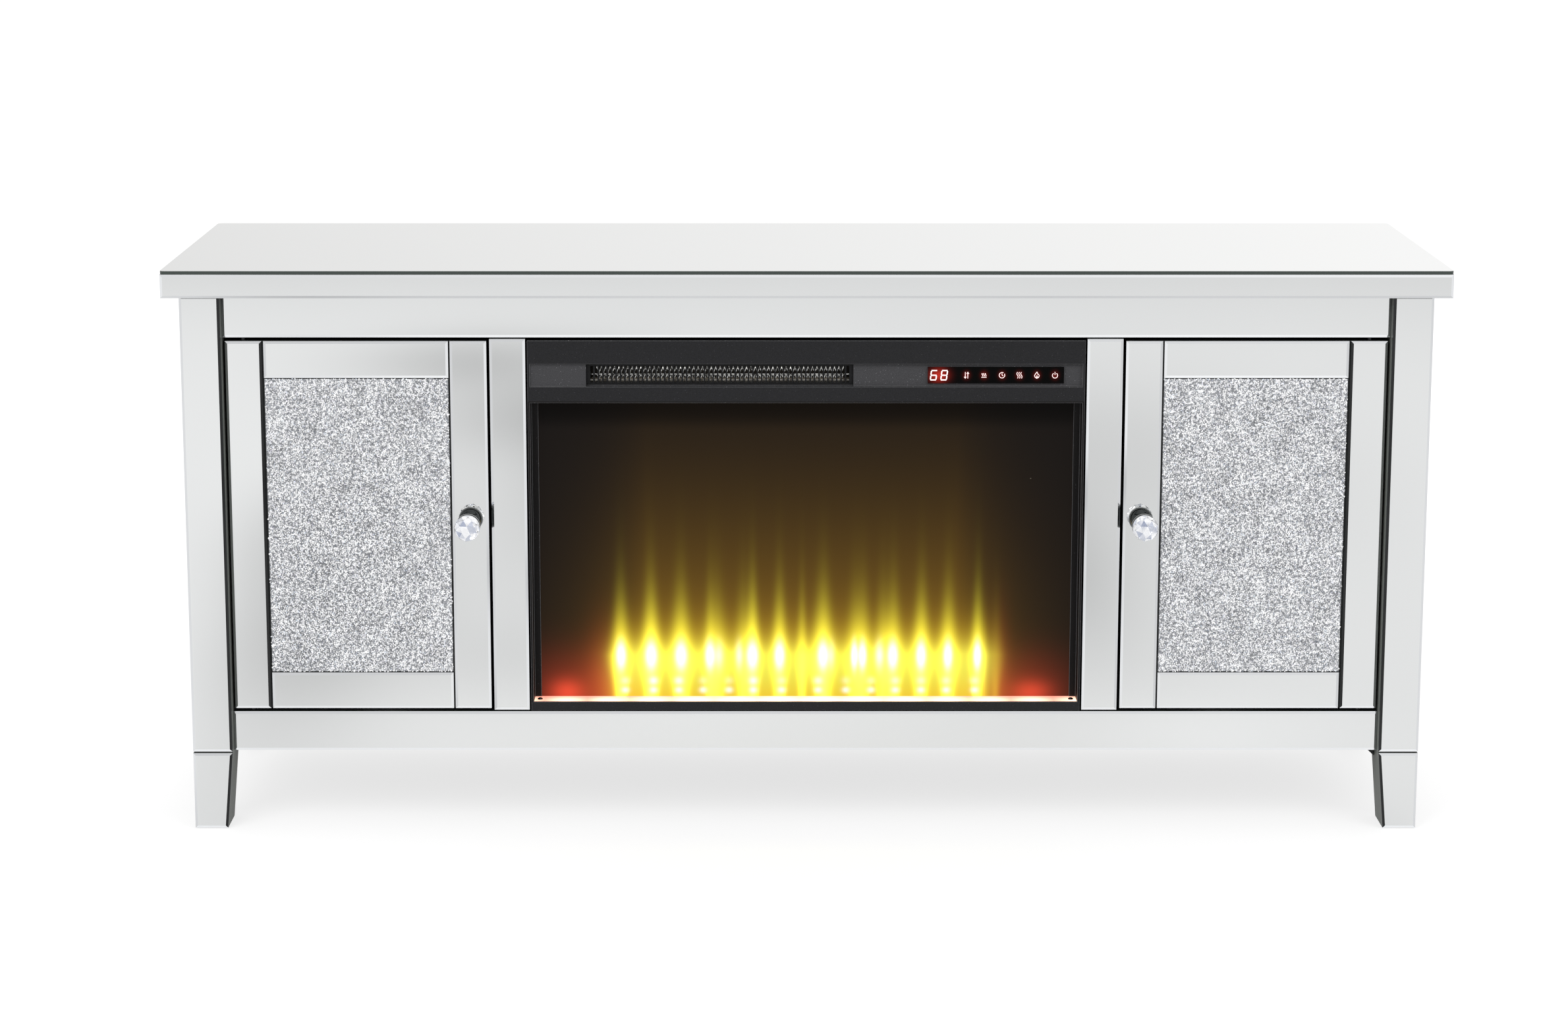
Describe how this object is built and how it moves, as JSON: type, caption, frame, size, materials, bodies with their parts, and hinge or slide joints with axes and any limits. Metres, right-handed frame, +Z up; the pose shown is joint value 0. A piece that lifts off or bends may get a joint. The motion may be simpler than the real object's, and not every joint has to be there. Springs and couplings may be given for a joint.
{
  "type": "fireplace tv stand",
  "caption": "Low mirrored media cabinet with two hinged crushed-crystal doors round an electric fireplace insert with a glowing flame screen.",
  "frame": {"origin": "on the floor, under the middle of the box round the whole part, knobs included", "axes": "+X to the right across the width, +Y from the front to the back, +Z up"},
  "size_m": [1.5, 0.4148, 0.68],
  "materials": {
    "mirror_glass": "silvered glass, ground and polished bevels",
    "painted_board": "dark grey painted fibreboard",
    "crushed_crystal": "clear crushed crystal chips on a silvered back",
    "cut_crystal": "clear faceted crystal",
    "dark_chrome": "polished chrome",
    "steel": "plain steel",
    "black_sheet_steel": "matt black powder coat",
    "black_plastic": "fine-grained satin black",
    "control_gloss": "gloss black with lit red signs",
    "flame_screen": "smoked screen with a lit flame picture",
    "lit_ledge": "translucent, lit from below",
    "motor_metal": "cast and pressed metal"
  },
  "bodies": {
    "cabinet": {"top_mirror": "mirror_glass", "fascia_mirror_front": "mirror_glass", "fascia_mirror_left": "mirror_glass", "fascia_mirror_right": "mirror_glass", "post_mirror_left": "mirror_glass", "post_mirror_right": "mirror_glass", "foot_mirror_left": "mirror_glass", "foot_mirror_right": "mirror_glass", "side_mirror_left": "mirror_glass", "side_mirror_right": "mirror_glass", "top_rail_mirror": "mirror_glass", "bottom_rail_mirror": "mirror_glass", "stile_mirror_left": "mirror_glass", "stile_mirror_right": "mirror_glass", "top_board": "painted_board", "leg_front_left": "painted_board", "leg_front_right": "painted_board", "leg_rear_left": "painted_board", "leg_rear_right": "painted_board", "side_panel_left": "painted_board", "side_panel_right": "painted_board", "floor_panel": "painted_board", "back_panel": "painted_board", "divider_left": "painted_board", "divider_right": "painted_board", "shelf_left": "painted_board", "shelf_right": "painted_board", "top_rail": "painted_board", "bottom_rail": "painted_board", "hinge_pin_lower_left": "steel", "hinge_pin_upper_left": "steel", "hinge_pin_lower_right": "steel", "hinge_pin_upper_right": "steel", "heating_element": "steel", "insert_housing": "black_sheet_steel", "insert_bezel": "black_plastic", "heater_grille": "black_plastic", "control_glass": "control_gloss", "flame_screen": "flame_screen", "ember_ledge": "lit_ledge", "blower_motor": "motor_metal", "spindle_motor": "motor_metal"},
    "left_door": {"door_board_left": "painted_board", "door_outer_mirror_left": "mirror_glass", "door_inner_mirror_left": "mirror_glass", "door_lower_mirror_left": "mirror_glass", "door_upper_mirror_left": "mirror_glass", "crystal_panel_left": "crushed_crystal", "knob_base_left": "dark_chrome", "knob_crystal_left": "cut_crystal"},
    "right_door": {"door_board_right": "painted_board", "door_outer_mirror_right": "mirror_glass", "door_inner_mirror_right": "mirror_glass", "door_lower_mirror_right": "mirror_glass", "door_upper_mirror_right": "mirror_glass", "crystal_panel_right": "crushed_crystal", "knob_base_right": "dark_chrome", "knob_crystal_right": "cut_crystal"},
    "blower_rotor": {"blower_wheel": "motor_metal"},
    "flame_rotor": {"flame_spindle": "steel"}
  },
  "joints": [
    {"name": "left_door_hinge", "type": "hinge", "parent": "cabinet", "child": "left_door", "pos_m": [-0.662, -0.1516, 0.369], "axis": [0, 0, -1], "range_deg": [0, 100]},
    {"name": "right_door_hinge", "type": "hinge", "parent": "cabinet", "child": "right_door", "pos_m": [0.662, -0.1516, 0.369], "axis": [0, 0, 1], "range_deg": [0, 100]},
    {"name": "blower_spin", "type": "hinge", "parent": "cabinet", "child": "blower_rotor", "pos_m": [-0.10225, -0.062, 0.551], "axis": [1, 0, 0], "continuous": true},
    {"name": "flame_spin", "type": "hinge", "parent": "cabinet", "child": "flame_rotor", "pos_m": [0, -0.087, 0.2038], "axis": [1, 0, 0], "continuous": true}
  ]
}
